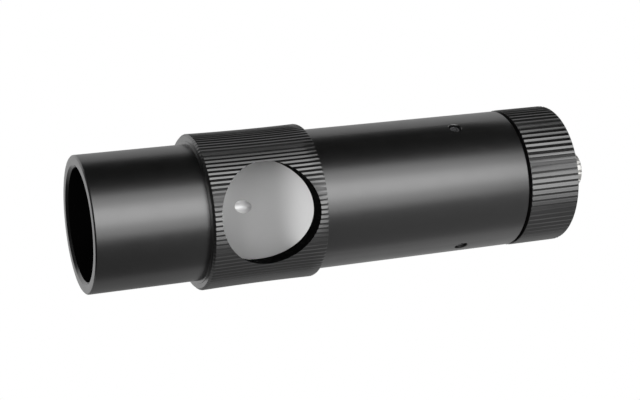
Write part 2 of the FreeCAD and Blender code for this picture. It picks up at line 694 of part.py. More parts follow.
def make_switch():
    """Push switch in the cap's end wall, from its terminal to its button."""
    stem_bore = f"({STEM_R} + slip_clearance)"
    turned("switch_bushing", [
        (stem_bore, BUSHING_BOTTOM),
        (SWITCH_R, BUSHING_BOTTOM),
        (SWITCH_R, CAP_WALL),
        (BUSHING_R, CAP_WALL),
        (BUSHING_R, BUSHING_TOP),
        (stem_bore, BUSHING_TOP),
    ])
    cavity_r = f"({SWITCH_R} - switch_body_wall)"
    turned("switch_body", [
        ("0", SWITCH_BOTTOM),
        (SWITCH_R, SWITCH_BOTTOM),
        (SWITCH_R, BUSHING_BOTTOM),
        (cavity_r, BUSHING_BOTTOM),
        (cavity_r, SWITCH_FLOOR),
        ("0", SWITCH_FLOOR),
    ])
    turned("switch_terminal", [
        ("0", f"{SWITCH_BOTTOM} - terminal_length"),
        ("terminal_diameter / 2", f"{SWITCH_BOTTOM} - terminal_length"),
        ("terminal_diameter / 2", SWITCH_BOTTOM),
        ("0", SWITCH_BOTTOM),
    ])
    sleeve("switch_washer", "washer_diameter / 2", f"({BUSHING_R} + thread_clearance)",
           CAP_REAR, WASHER_TOP)
    make_nut()
    make_push_button()
    coil_spring("button_spring", "button_spring_coil", "button_spring_wire",
                "button_spring_pitch", SWITCH_FLOOR, STOP_BOTTOM)
    coil_spring("tail_spring", "tail_spring_coil", "tail_spring_wire", "tail_spring_pitch",
                f"({CELL_TOP} + tail_spring_gap)", SWITCH_BOTTOM)


make_body_tube()
make_window_collar()
make_target_plug()
for screw_number in range(1, int(value("screw_count")) + 1):
    make_adjusting_screw(screw_number)
make_laser_carrier()
make_pivot_ring()
make_laser_module()
make_battery()
sleeve("seal_ring", f"({TUBE_R} - seal_setback)", f"({REAR_BORE_R} + thread_clearance)",
       "tube_length", CAP_FRONT)
make_rear_cap()
make_switch()
doc.recompute()

# Nothing is written unless every object and every sub-part came out sound
for item in doc.Objects:
    if "Invalid" in item.State or "Error" in item.State:
        raise RuntimeError(f"{item.Label} did not build: {item.State}")
for node, piece in NODES.items():
    if piece.Shape.isNull() or not piece.Shape.isValid():
        raise RuntimeError(f"{node} has no sound shape")

os.makedirs("parts", exist_ok=True)
for node, piece in NODES.items():
    piece.Shape.exportStep(f"parts/{node}.step")
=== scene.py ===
"""Portrait of a telescope collimator: finer visible pieces, finishes, studio and camera.

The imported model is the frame. Sizes in the classes are millimetres, and everything in
Blender is metres, in the same frame: +Z is the tube's axis, from the nose to the push
button, and the sight window faces -Y. A place along the axis, such as a shoulder, a seat
or a bottom, is its height over the nose's open end.
"""

import logging
import math
from collections.abc import Callable, Iterable, Sequence
from dataclasses import dataclass, field
from enum import Enum
from typing import Any

import bmesh
import bpy
from mathutils import Euler, Matrix, Vector

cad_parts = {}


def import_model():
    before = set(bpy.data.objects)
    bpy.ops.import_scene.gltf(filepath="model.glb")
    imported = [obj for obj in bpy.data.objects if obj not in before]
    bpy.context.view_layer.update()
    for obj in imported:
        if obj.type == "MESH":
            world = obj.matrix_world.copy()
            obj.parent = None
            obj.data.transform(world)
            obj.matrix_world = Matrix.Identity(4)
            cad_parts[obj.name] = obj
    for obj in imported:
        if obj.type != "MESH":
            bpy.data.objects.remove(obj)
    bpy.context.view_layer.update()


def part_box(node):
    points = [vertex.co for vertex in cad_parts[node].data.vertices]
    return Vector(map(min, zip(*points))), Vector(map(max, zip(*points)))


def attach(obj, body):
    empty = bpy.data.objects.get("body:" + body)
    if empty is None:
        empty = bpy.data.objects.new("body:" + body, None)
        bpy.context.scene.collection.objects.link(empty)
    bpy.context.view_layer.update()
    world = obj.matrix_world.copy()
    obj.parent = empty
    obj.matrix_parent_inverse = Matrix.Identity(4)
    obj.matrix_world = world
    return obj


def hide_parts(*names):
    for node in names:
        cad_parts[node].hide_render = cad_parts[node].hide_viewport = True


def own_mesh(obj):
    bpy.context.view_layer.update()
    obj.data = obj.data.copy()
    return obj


MM = 0.001
FULL_TURN = 2 * math.pi
# Steps round a smooth turned piece, enough for a glossy surface to show no facets
SMOOTH_STEPS = 256
# Steps round a screw or its hole, which are small
SCREW_STEPS = 64
# Within these distances, in metres, vertices are joined, and are found again
JOIN_WITHIN = 1e-7
FIND_WITHIN = 1e-6
log = logging.getLogger("collimator")

# A corner of a turned profile: radius, height, and how much the corner is softened
Corner = tuple[float, float, float]


def linear(hex_colour: str) -> tuple[float, float, float, float]:
    """Turns an sRGB hex colour to the linear values that shaders take.

    Args:
        hex_colour: Six hex digits after a hash.

    Returns:
        Linear red, green, blue and an alpha of 1.
    """
    parts = (int(hex_colour[i:i + 2], 16) / 255 for i in (1, 3, 5))
    red, green, blue = (c / 12.92 if c <= 0.04045 else ((c + 0.055) / 1.055) ** 2.4 for c in parts)
    return red, green, blue, 1.0


def add_node(tree: bpy.types.NodeTree, kind: str, settings: dict[Any, Any] | None = None,
             links: dict[Any, bpy.types.NodeSocket] | None = None) -> bpy.types.Node:
    """Adds a node with its settings and links.

    Args:
        tree: The node tree to add to.
        kind: The node's type name.
        settings: Values by attribute (lower case) or by input socket (name or number).
        links: Output sockets by the input that they feed.

    Returns:
        The new node.
    """
    node = tree.nodes.new(kind)
    for name, value in (settings or {}).items():
        if isinstance(name, str) and name[0].islower():
            setattr(node, name, value)
        else:
            node.inputs[name].default_value = value
    for name, source in (links or {}).items():
        tree.links.new(source, node.inputs[name])
    return node


def empty_tree(owner: bpy.types.Material | bpy.types.World) -> bpy.types.NodeTree:
    """Turns on the nodes of a material or world, and takes out those that it starts with.

    Args:
        owner: The material or world.

    Returns:
        Its node tree, empty.
    """
    owner.use_nodes = True
    owner.node_tree.nodes.clear()
    return owner.node_tree


class Grain(Enum):
    """Which way the fine marks of a finish run."""

    EVEN = "even"
    TURNED = "turned"


@dataclass(frozen=True)
class Finish:
    """One surface finish, made from what the real material is and how it was worked.

    Attributes:
        name: The material's common name.
        colour: sRGB hex colour.
        metallic: 1 for a bare metal, 0 otherwise.
        roughness: Middle roughness.
        spread: How far the roughness wanders either way.
        shade: How far the colour wanders, as a share of it.
        grain: Which way the marks run.
        grain_mm: Size of the marks.
        grain_depth_mm: Height of the marks.
        patch_mm: Size of the soft patches of wear and handling.
        extra: Further shader sockets and their values.
    """

    name: str
    colour: str
    metallic: float
    roughness: float
    spread: float = 0.03
    shade: float = 0.1
    grain: Grain = Grain.EVEN
    grain_mm: float = 0.12
    grain_depth_mm: float = 0.001
    patch_mm: float = 4.0
    extra: tuple[tuple[str, float], ...] = ()

    def material(self) -> bpy.types.Material:
        """The finish as a material, made once.

        Returns:
            The material, new or from an earlier call.
        """
        known = bpy.data.materials.get(self.name)
        if known:
            return known
        made = bpy.data.materials.new(self.name)
        tree = empty_tree(made)
        place = add_node(tree, "ShaderNodeTexCoord").outputs["Object"]
        marks = add_node(tree, "ShaderNodeTexNoise",
                         {"Scale": 1 / (self.grain_mm * MM), "Detail": 2.0, "Roughness": 0.6},
                         {"Vector": self._along_marks(tree, place)}).outputs["Fac"]
        patches = add_node(tree, "ShaderNodeTexNoise",
                           {"Scale": 1 / (self.patch_mm * MM), "Detail": 4.0, "Roughness": 0.6},
                           {"Vector": place}).outputs["Fac"]
        bump = add_node(tree, "ShaderNodeBump",
                        {"Strength": 1.0, "Distance": self.grain_depth_mm * MM},
                        {"Height": marks})
        # Noise keeps mostly between these two values
        usual_low, usual_high = 0.3, 0.7
        least_roughness = 0.02
        roughness = add_node(tree, "ShaderNodeMapRange",
                             {"From Min": usual_low, "From Max": usual_high,
                              "To Min": max(self.roughness - self.spread, least_roughness),
                              "To Max": self.roughness + self.spread},
                             {"Value": patches})
        red, green, blue, _ = linear(self.colour)
        dark = tuple(c * (1 - self.shade) for c in (red, green, blue)) + (1.0,)
        light = tuple(min(c * (1 + self.shade), 1.0) for c in (red, green, blue)) + (1.0,)
        colour = add_node(tree, "ShaderNodeMix", {"data_type": "RGBA", 6: dark, 7: light},
                          {0: patches})
        shader = add_node(tree, "ShaderNodeBsdfPrincipled",
                          {"Metallic": self.metallic, **dict(self.extra)},
                          {"Base Color": colour.outputs[2], "Roughness": roughness.outputs[0],
                           "Normal": bump.outputs[0]})
        add_node(tree, "ShaderNodeOutputMaterial", links={"Surface": shader.outputs[0]})
        return made

    def _along_marks(self, tree: bpy.types.NodeTree,
                     place: bpy.types.NodeSocket) -> bpy.types.NodeSocket:
        """Where a point lies on the marks: turned marks are rings round the Z axis.

        Args:
            tree: The material's node tree.
            place: The point in object coordinates.

        Returns:
            The vector that the marks' noise reads.
        """
        if self.grain is Grain.EVEN:
            return place
        parts = add_node(tree, "ShaderNodeSeparateXYZ", links={0: place})
        flat = add_node(tree, "ShaderNodeCombineXYZ",
                        links={"X": parts.outputs["X"], "Y": parts.outputs["Y"]})
        radius = add_node(tree, "ShaderNodeVectorMath", {"operation": "LENGTH"},
                          {0: flat.outputs[0]})
        return add_node(tree, "ShaderNodeCombineXYZ",
                        links={"X": radius.outputs["Value"], "Y": parts.outputs["Z"]}).outputs[0]


# Black dyed oxide on turned aluminium: near black, with a satin gloss that shows the lamps as soft
# bands. The metal under the thin oxide adds to the shine, so the IOR is above the oxide's own.
BLACK_ANODISED = Finish("anodised_aluminium_black", "#050505", 0.0, 0.31, spread=0.015, shade=0.2,
                        grain_mm=0.1, grain_depth_mm=0.0003, extra=(("IOR", 2.3),))
# The same oxide on milled ribs: the same gloss, with slightly deeper cutter marks
RIBBED_ANODISED = Finish("anodised_aluminium_ribbed", "#050505", 0.0, 0.31, spread=0.02, shade=0.2,
                         grain_mm=0.1, grain_depth_mm=0.0004, extra=(("IOR", 2.3),))
# The same dye on a cut left rough by the end mill: a flat black that shows no lamp
ROUGH_CUT_BLACK = Finish("anodised_rough_cut", "#030303", 0.0, 0.9, spread=0.03, shade=0.2,
                         grain_mm=0.12, grain_depth_mm=0.003,
                         extra=(("IOR", 1.5), ("Specular IOR Level", 0.02)))
# Bare aluminium blasted with fine grit: a matt silver that scatters more light than it mirrors
BLASTED_ALUMINIUM = Finish("blasted_aluminium", "#dadada", 0.4, 0.6, spread=0.02, shade=0.02,
                           grain_mm=0.1, grain_depth_mm=0.001)
# Reamed aluminium in the beam hole, with a soft shine along the bore. Its pure white, mostly matt
# colour, whiter than the blasted face, is a painted highlight
REAMED_ALUMINIUM_PAINTED_BRIGHT = Finish("reamed_aluminium_painted_bright", "#ffffff", 0.3, 0.4, spread=0.02, shade=0.03,
                          grain=Grain.TURNED, grain_mm=0.05, grain_depth_mm=0.0006)
# Nickel-plated brass, satin: soft bright reflections on the push button, nut and washer
NICKEL_PLATE = Finish("nickel_plated_brass", "#dcdbd8", 0.8, 0.4, spread=0.04, shade=0.04,
                      grain=Grain.TURNED, grain_mm=0.05, grain_depth_mm=0.0004)
# Worn black-oxide steel of the set screws: grey with a dull metal shine in the dark of its hole
BLACK_OXIDE = Finish("black_oxide_steel", "#a0a0a2", 1.0, 0.6, spread=0.06, grain_mm=0.08)
# Stainless spring wire, drawn: a plain steel shine along the wire
SPRING_WIRE = Finish("stainless_spring_wire", "#b8b8ba", 1.0, 0.26, grain_mm=0.06)
# Stainless can of the coin cell, pressed from brushed sheet
CELL_STEEL = Finish("stainless_cell_can", "#c9c9c7", 1.0, 0.3, grain=Grain.TURNED, grain_mm=0.05,
                    grain_depth_mm=0.0006)
# Free-cutting brass, turned: a warm metal with fine tool rings
TURNED_BRASS = Finish("turned_brass", "#d3b06a", 1.0, 0.28, grain=Grain.TURNED, grain_mm=0.05,
                      grain_depth_mm=0.0008)
# Gold flash on the diode's steel header: yellow and smooth
GOLD_FLASH = Finish("gold_flashed_steel", "#e3c078", 1.0, 0.2, grain_mm=0.08, grain_depth_mm=0.0004)
# Borosilicate crown glass, polished: clear, with sharp small reflections
CROWN_GLASS = Finish("crown_glass", "#f4fafa", 0.0, 0.03, spread=0.01, shade=0.01, grain_mm=0.3,
                     grain_depth_mm=0.0001, extra=(("Transmission Weight", 1.0), ("IOR", 1.517)))
# Nitrile rubber, moulded: a dull soft black with no clear reflection
NITRILE_RUBBER = Finish("nitrile_rubber", "#0b0b0b", 0.0, 0.62, shade=0.2, grain_mm=0.15,
                        grain_depth_mm=0.003)
# Glass-epoxy board under green resist: glossy green with a faint weave of grain
EPOXY_BOARD = Finish("glass_epoxy_board", "#1d6a3a", 0.0, 0.35, shade=0.15, grain_mm=0.2,
                     grain_depth_mm=0.002)
# ABS, moulded with a spark-eroded texture: an even soft sheen
MOULDED_ABS = Finish("moulded_abs_black", "#1a1a1b", 0.0, 0.5, shade=0.1, grain_mm=0.15,
                     grain_depth_mm=0.003)


def lathe(profile: Sequence[Corner], steps: int = SMOOTH_STEPS) -> bmesh.types.BMesh:
    """Turns a closed profile about the Z axis.

    Args:
        profile: Corners in order, in millimetres.
        steps: Steps of the full turn.

    Returns:
        The turned mesh, closed, with its faces pointing outwards.
    """
    softening_segments = 3
    mesh = bmesh.new()
    corners = [mesh.verts.new((radius * MM, 0, height * MM)) for radius, height, _ in profile]
    for first, second in zip(corners, corners[1:] + corners[:1]):
        if first.co.x > 0 or second.co.x > 0:
            mesh.edges.new((first, second))
    for softening in sorted({soft for _, _, soft in profile if soft > 0}):
        wanted = [v for v, (_, _, soft) in zip(corners, profile) if soft == softening]
        bmesh.ops.bevel(mesh, geom=wanted, offset=softening * MM, offset_type="OFFSET",
                        affect="VERTICES", segments=softening_segments, profile=0.5, material=-1)
    bmesh.ops.spin(mesh, geom=mesh.verts[:] + mesh.edges[:], cent=(0, 0, 0), axis=(0, 0, 1),
                   dvec=(0, 0, 0), angle=FULL_TURN, steps=steps, use_merge=True)
    bmesh.ops.remove_doubles(mesh, verts=mesh.verts[:], dist=JOIN_WITHIN)
    bmesh.ops.recalc_face_normals(mesh, faces=mesh.faces[:])
    return mesh


def rod(radius: float, low: float, high: float, sides: int,
        across_y: bool = False) -> bmesh.types.BMesh:
    """A prism or rod for cutting, along Z, or out along -Y from the axis.

    Args:
        radius: Radius over its corners, in millimetres.
        low: Where it starts along its axis.
        high: Where it ends.
        sides: Its number of sides.
        across_y: Lay it along -Y.

    Returns:
        The closed mesh.
    """
    mesh = bmesh.new()
    middle = Matrix.Translation((0, 0, (low + high) / 2 * MM))
    bmesh.ops.create_cone(mesh, cap_ends=True, segments=sides, radius1=radius * MM,
                          radius2=radius * MM, depth=(high - low) * MM, matrix=middle)
    if across_y:
        bmesh.ops.rotate(mesh, cent=(0, 0, 0), matrix=Matrix.Rotation(math.pi / 2, 3, "X"),
                         verts=mesh.verts[:])
    return mesh


def hexagon_radius(across_flats: float) -> float:
    """Radius over the corners of a hexagon."""
    return across_flats / 2 / math.cos(math.pi / 6)


def as_object(name: str, mesh: bmesh.types.BMesh) -> bpy.types.Object:
    """An object at the origin that takes over a bmesh.

    Args:
        name: The object's name.
        mesh: The bmesh, which is freed.

    Returns:
        The linked object.
    """
    data = bpy.data.meshes.new(name)
    mesh.to_mesh(data)
    mesh.free()
    made = bpy.data.objects.new(name, data)
    bpy.context.scene.collection.objects.link(made)
    return made


class Cut(Enum):
    """What a tool does to the blank, by the Boolean modifier's name for it."""

    TAKE_AWAY = "DIFFERENCE"
    KEEP_SHARED = "INTERSECT"


def carve(blank: bmesh.types.BMesh, tools: Iterable[bmesh.types.BMesh],
          kind: Cut = Cut.TAKE_AWAY) -> bmesh.types.BMesh:
    """Cuts tools out of a blank, or keeps what they share with it.

    Args:
        blank: The mesh to cut, which is freed.
        tools: The cutting meshes, which are freed.
        kind: What the tools do.

    Returns:
        The cut mesh.
    """
    work = as_object("blank", blank)
    cutters = [as_object("tool", tool) for tool in tools]
    for cutter in cutters:
        cut = work.modifiers.new("cut", "BOOLEAN")
        cut.operation = kind.value
        cut.solver = "EXACT"
        cut.object = cutter
    depsgraph = bpy.context.evaluated_depsgraph_get()
    data = bpy.data.meshes.new_from_object(work.evaluated_get(depsgraph))
    result = bmesh.new()
    result.from_mesh(data)
    for used in (work, *cutters):
        bpy.data.meshes.remove(used.data)
    bpy.data.meshes.remove(data)
    return result


def press_ribs(mesh: bmesh.types.BMesh, radius: float, count: int, steps: int,
               sink: Callable[[float], float], low: float, high: float) -> None:
    """Presses equal grooves into the outside of a turned blank.

    Args:
        mesh: The blank, turned in count times steps steps.
        radius: Radius of its outside, in millimetres.
        count: Number of ribs.
        steps: Steps of the blank for each rib.
        sink: Depth in millimetres at a share of the way from one crest to the next.
        low: Height where the ribs start.
        high: Height where they end.
    """
    groups: dict[int, list[bmesh.types.BMVert]] = {}
    for vert in mesh.verts:
        on_outside = abs(vert.co.xy.length - radius * MM) < FIND_WITHIN
        if on_outside and low * MM - FIND_WITHIN < vert.co.z < high * MM + FIND_WITHIN:
            turn = math.atan2(vert.co.y, vert.co.x) / FULL_TURN
            groups.setdefault(round(turn * count * steps) % steps, []).append(vert)
    for step, verts in groups.items():
        scale = 1 - sink(step / steps) / radius
        bmesh.ops.scale(mesh, vec=(scale, scale, 1), verts=verts)


def gable(share: float, root: float) -> float:
    """Depth of a V groove, as a share of its deepest point.

    Args:
        share: Place between one crest and the next, from 0 to 1.
        root: Where the groove is deepest.

    Returns:
        0 at a crest and 1 at the root.
    """
    return share / root if share < root else (1 - share) / (1 - root)


@dataclass(frozen=True)
class SightWindow:
    """The round window, cut into the -Y side of collar and tube alike.

    Attributes:
        radius: Its radius.
        height: Height of its middle.
        sides: Sides of the rod that cuts it.
        beyond: How far that rod sticks out of the piece.
        wall_slack: How far off the window's radius its wall may lie.
        bore_slack: How far past the bore's radius the bore's wall may lie.
        level_normal: The most that a face's normal may lean to Y, for the face to be a wall.
    """

    radius: float = 11.75
    height: float = 40.0
    sides: int = 160
    beyond: float = 5.0
    wall_slack: float = 0.01
    bore_slack: float = 0.02
    level_normal: float = 0.02

    def cutter(self, outside: float) -> bmesh.types.BMesh:
        """The rod that cuts the window.

        Args:
            outside: Radius of the piece that it cuts, in millimetres.

        Returns:
            The closed mesh, from the axis out along -Y.
        """
        mesh = rod(self.radius, 0, outside + self.beyond, self.sides, across_y=True)
        bmesh.ops.translate(mesh, vec=(0, 0, self.height * MM), verts=mesh.verts[:])
        return mesh

    def on_wall(self, place: Vector) -> bool:
        """Tells whether a place in metres lies on the window's wall."""
        off_axis = math.hypot(place.x, place.z - self.height * MM)
        return place.y < 0 and abs(off_axis - self.radius * MM) < self.wall_slack * MM

    def mark_rough(self, mesh: bmesh.types.BMesh, bore: float) -> None:
        """Gives the window's wall, and the bore behind it, the piece's second finish.

        Args:
            mesh: The piece with the window cut.
            bore: Radius of its bore, in millimetres.
        """
        mesh.normal_update()
        for face in mesh.faces:
            in_window = abs(face.normal.y) < self.level_normal and all(
                self.on_wall(vert.co) for vert in face.verts)
            in_bore = all(vert.co.xy.length < (bore + self.bore_slack) * MM for vert in face.verts)
            face.material_index = int(in_window or in_bore)


SIGHT_WINDOW = SightWindow()


def helix(coil_radius: float, wire: float, low: float, high: float,
          turns: float) -> bmesh.types.BMesh:
    """A wire spring about the Z axis: the wire's round section, spun as it rises.

    Args:
        coil_radius: Mean radius of the coil, in millimetres.
        wire: Thickness of the wire.
        low: Lowest point of the spring.
        high: Highest point.
        turns: Number of turns.

    Returns:
        The closed wire.
    """
    sides, steps_a_turn = 12, 40
    mesh = bmesh.new()
    rise = (high - low - wire) * MM
    place = Matrix.Translation((coil_radius * MM, 0, (low + wire / 2) * MM))
    upright = Matrix.Rotation(math.pi / 2, 4, "X")
    bmesh.ops.create_circle(mesh, cap_ends=False, segments=sides, radius=wire / 2 * MM,
                            matrix=place @ upright)
    steps = round(turns * steps_a_turn)
    bmesh.ops.spin(mesh, geom=mesh.verts[:] + mesh.edges[:], cent=(0, 0, 0), axis=(0, 0, 1),
                   dvec=(0, 0, rise / steps), angle=FULL_TURN * turns, steps=steps, use_merge=False)
    bmesh.ops.holes_fill(mesh, edges=[e for e in mesh.edges if e.is_boundary], sides=0)
    bmesh.ops.recalc_face_normals(mesh, faces=mesh.faces[:])
    return mesh


def ridges(radius: float, depth: float, pitch: float, low: float, high: float) -> list[Corner]:
    """The crests and roots of a thread, as profile corners from low to high.

    Args:
        radius: Radius over the crests, in millimetres.
        depth: Depth of the roots.
        pitch: Distance from crest to crest.
        low: Height of the first root.
        high: Height that the last root stays under.

    Returns:
        Corners that alternate between root and crest.
    """
    count = int((high - low) / pitch)
    corners: list[Corner] = []
    for number in range(count):
        height = low + number * pitch
        corners.append((radius - depth, height, 0))
        corners.append((radius, height + pitch / 2, 0))
    corners.append((radius - depth, low + count * pitch, 0))
    return corners


@dataclass
class Assembly:
    """What every sub-assembly shares.

    Attributes:
        body: The moving body that its pieces ride on.
    """

    body: str

    def box(self, node: str) -> tuple[Vector, Vector]:
        """Lowest and highest corner of a CAD node, in millimetres."""
        low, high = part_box(node)
        return low / MM, high / MM

    def dress(self, node: str, finish: Finish) -> None:
        """Gives a CAD node that stays a finish.

        Args:
            node: The CAD node.
            finish: Its finish.
        """
        piece = bpy.data.objects[node]
        piece.data.materials.clear()
        piece.data.materials.append(finish.material())
        log.info("%s: CAD solid in %s", node, finish.name)

    def stand_in(self, node: str, mesh: bmesh.types.BMesh, finish: Finish, slot: str,
                 sharp_degrees: float = 30) -> bpy.types.Object:
        """Puts a finer piece in the place of a CAD node.

        Args:
            node: The CAD node that the piece replaces.
            mesh: The piece's mesh, which is freed.
            finish: Its finish.
            slot: Name of a material slot for the piece; not used.
            sharp_degrees: Edges that turn more than this stay sharp.

        Returns:
            The new piece.
        """
        piece = as_object(f"{node}_fine", mesh)
        piece.data.materials.append(finish.material())
        piece.data.shade_smooth()
        piece.data.set_sharp_from_angle(angle=math.radians(sharp_degrees))
        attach(piece, self.body)
        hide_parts(node)
        log.info("%s: %d faces in %s", piece.name, len(piece.data.polygons), finish.name)
        return piece


@dataclass
class NoseAndTube(Assembly):
    """Nose and main tube, turned from one bar, with its window and screw holes.

    The open end has two bevels: edge is the outer one, and mouth the inner one.
    """

    nose_radius: float = 15.85
    bore_radius: float = 13.1
    shoulder: float = 26.1
    rear_bore_radius: float = 14.6
    holder_seat: float = 94.0
    edge: float = 0.3
    mouth: float = 0.6
    screw_hole_radius: float = 1.55
    countersink: float = 0.15

    def profile(self, tube_radius: float, length: float) -> list[Corner]:
        """Half section of the bar.

        Args:
            tube_radius: Outside of the main tube.
            length: Open end to rear end.

        Returns:
            The profile's corners.
        """
        return [
            (self.bore_radius + self.mouth, 0, 0.05),
            (self.nose_radius - self.edge, 0, 0.05),
            (self.nose_radius, self.edge, 0.05),
            (self.nose_radius, self.shoulder, 0),
            (tube_radius, self.shoulder, 0.08),
            (tube_radius, length, 0.12),
            (self.rear_bore_radius, length, 0.12),
            (self.rear_bore_radius, self.holder_seat, 0),
            (self.bore_radius, self.holder_seat, 0),
            (self.bore_radius, self.mouth, 0),
        ]

    def screw_hole(self, tube_radius: float, height: float, degrees: float) -> bmesh.types.BMesh:
        """Cutter for one threaded hole and its countersink.

        Args:
            tube_radius: Outside of the main tube.
            height: Height of the hole.
            degrees: Direction of the hole round the axis.

        Returns:
            The cutter, laid along its radius.
        """
        beyond = 2.0
        wide = self.screw_hole_radius + self.countersink + beyond
        mesh = lathe([
            (0, self.bore_radius - beyond, 0),
            (self.screw_hole_radius, self.bore_radius - beyond, 0),
            (self.screw_hole_radius, tube_radius - self.countersink, 0),
            (wide, tube_radius + beyond, 0),
            (0, tube_radius + beyond, 0),
        ], SCREW_STEPS)
        bmesh.ops.transform(mesh, matrix=radial(height, degrees), verts=mesh.verts[:])
        return mesh

    def make(self, screws: "AdjustingScrews") -> None:
        """Makes the bar and cuts its window and screw holes.

        Args:
            screws: The screws whose holes it has.
        """
        low, high = self.box("body_tube")
        blank = lathe(self.profile(high.x, high.z))
        tools = [SIGHT_WINDOW.cutter(high.x)]
        for degrees in screws.directions:
            tools.append(self.screw_hole(high.x, screws.height(), degrees))
        mesh = carve(blank, tools)
        SIGHT_WINDOW.mark_rough(mesh, self.bore_radius)
        tube = self.stand_in("body_tube", mesh, BLACK_ANODISED, "black_anodised")
        tube.data.materials.append(ROUGH_CUT_BLACK.material())


def radial(height: float, degrees: float) -> Matrix:
    """Lays a piece made along Z out along a radius at a height.

    Args:
        height: Height in millimetres.
        degrees: Direction round the axis, from +X.

    Returns:
        The transform.
    """
    lay_down = Matrix.Rotation(math.pi / 2, 4, "Y")
    go_round = Matrix.Rotation(math.radians(degrees), 4, "Z")
    return Matrix.Translation((0, 0, height * MM)) @ go_round @ lay_down


@dataclass
class AdjustingScrews(Assembly):
    """Three set screws round the tube, with their directions in degrees from +X."""

    directions: tuple[float, ...] = (90.0, 210.0, 330.0)
    radius: float = 1.5
    thread_depth: float = 0.28
    pitch: float = 0.5
    plain_end: float = 0.3
    tip_bevel: float = 0.4
    head_bevel: float = 0.3
    edge: float = 0.05
    socket_across_flats: float = 1.5
    socket_depth: float = 1.8

    def height(self) -> float:
        """Height of the screws' axes, read from the first screw's CAD box."""
        low, high = self.box("adjusting_screw_1")
        return (low.z + high.z) / 2

    def make(self) -> None:
        """Makes every screw with its thread and hexagon socket."""
        low, high = self.box("adjusting_screw_1")
        tip, head = low.y, high.y
        beyond = 1.0
        for number, degrees in enumerate(self.directions, start=1):
            thread = ridges(self.radius, self.thread_depth, self.pitch,
                            tip + self.plain_end, head - self.plain_end)
            blank = lathe([
                (0, tip, 0),
                (self.radius - self.tip_bevel, tip, self.edge),
                *thread,
                (self.radius - self.head_bevel, head, self.edge),
                (0, head, 0),
            ], SCREW_STEPS)
            socket = rod(hexagon_radius(self.socket_across_flats), head - self.socket_depth,
                         head + beyond, 6)
            mesh = carve(blank, [socket])
            bmesh.ops.transform(mesh, matrix=radial(self.height(), degrees), verts=mesh.verts[:])
            self.body = f"screw_{number}"
            self.stand_in(f"adjusting_screw_{number}", mesh, BLACK_OXIDE, "black_steel")


@dataclass
class Ribbed(Assembly):
    """A sub-assembly with V grooves round its outside.

    Attributes:
        ribs: Number of ribs.
        rib_depth: Depth of a groove.
        root: Where a groove is deepest, as a share of the way from crest to crest.
        steps: Steps of the blank for each rib.
    """

    ribs: int
    rib_depth: float
    root: float
    steps: int

    def sink(self, share: float) -> float:
        """Depth of the rib's flanks, straight from crest to root and back up to the next crest."""
        return self.rib_depth * gable(share, self.root)


@dataclass
class WindowCollar(Ribbed):
    """Ribbed sleeve with the round window.

    Attributes:
        waist: How far the middle of the sleeve is drawn in.
        stations: Stretches along the sleeve that its waist is bent in.
        rear_bevel: Length of the bevel on the rear edge.
        rear_drop: How far that bevel goes in.
    """

    ribs: int = 104
    rib_depth: float = 0.145
    root: float = 0.4
    steps: int = 5
    waist: float = 0.15
    stations: int = 10
    front_bevel: float = 0.5
    rear_bevel: float = 0.3
    rear_drop: float = 0.15
    bore_radius: float = 16.6

    def make(self) -> None:
        """Makes the sleeve and cuts its window."""
        low, high = self.box("window_collar")
        outside = high.x
        front, rear = low.z + self.front_bevel, high.z - self.rear_bevel
        heights = [front + (rear - front) * i / self.stations for i in range(self.stations + 1)]
        blank = lathe([
            (self.bore_radius, low.z, 0),
            (outside - self.front_bevel, low.z, 0),
            *((outside, height, 0) for height in heights),
            (outside - self.rear_drop, high.z, 0),
            (self.bore_radius, high.z, 0),
        ], self.ribs * self.steps)
        rings = [[v for v in blank.verts if abs(v.co.z - height * MM) < FIND_WITHIN
                  and abs(v.co.xy.length - outside * MM) < FIND_WITHIN] for height in heights]
        press_ribs(blank, outside, self.ribs, self.steps, self.sink, front, rear)
        for number, ring in enumerate(rings):
            middle = 2 * number / self.stations - 1
            scale = 1 - self.waist * (1 - middle * middle) / outside
            bmesh.ops.scale(blank, vec=(scale, scale, 1), verts=ring)
        mesh = carve(blank, [SIGHT_WINDOW.cutter(outside)])
        SIGHT_WINDOW.mark_rough(mesh, self.bore_radius)
        collar = self.stand_in("window_collar", mesh, RIBBED_ANODISED, "ribbed_anodised",
                               sharp_degrees=20)
        collar.data.materials.append(ROUGH_CUT_BLACK.material())


@dataclass
class TargetPlug(Assembly):
    """Plug with the slanted target face, the beam hole and a relief in its back.

    The face meets the axis at target_height. The wall of the beam hole may lie hole_slack
    past the hole's radius.
    """

    beam_radius: float = 1.55
    target_height: float = 39.0
    relief_radius: float = 8.0
    relief_depth: float = 6.0
    rear_edge: float = 0.2
    steps: int = 192
    hole_slack: float = 0.01

    def make(self) -> None:
        """Turns the plug, slices off the slanted face and gives the beam hole its own finish."""
        low, high = self.box("target_plug")
        mesh = lathe([
            (self.beam_radius, low.z, 0),
            (high.x, low.z, 0),
            (high.x, high.z, self.rear_edge),
            (self.relief_radius, high.z, 0),
            (self.relief_radius, high.z - self.relief_depth, 0),
            (self.beam_radius, high.z - self.relief_depth, 0),
        ], self.steps)
        everything = mesh.verts[:] + mesh.edges[:] + mesh.faces[:]
        sliced = bmesh.ops.bisect_plane(mesh, geom=everything, dist=JOIN_WITHIN,
                                        plane_co=(0, 0, self.target_height * MM),
                                        plane_no=Vector((0, -1, -1)).normalized(), clear_outer=True)
        rim = [e for e in sliced["geom_cut"] if isinstance(e, bmesh.types.BMEdge)]
        bmesh.ops.bridge_loops(mesh, edges=rim)
        bmesh.ops.recalc_face_normals(mesh, faces=mesh.faces[:])
        hole_wall = (self.beam_radius + self.hole_slack) * MM
        for face in mesh.faces:
            face.material_index = int(all(v.co.xy.length < hole_wall for v in face.verts))
        plug = self.stand_in("target_plug", mesh, BLASTED_ALUMINIUM, "target_silver")
        # The beam hole's pure white colour is a painted highlight, whiter than the blasted face
        # round it
        plug.data.materials.append(REAMED_ALUMINIUM_PAINTED_BRIGHT.material())


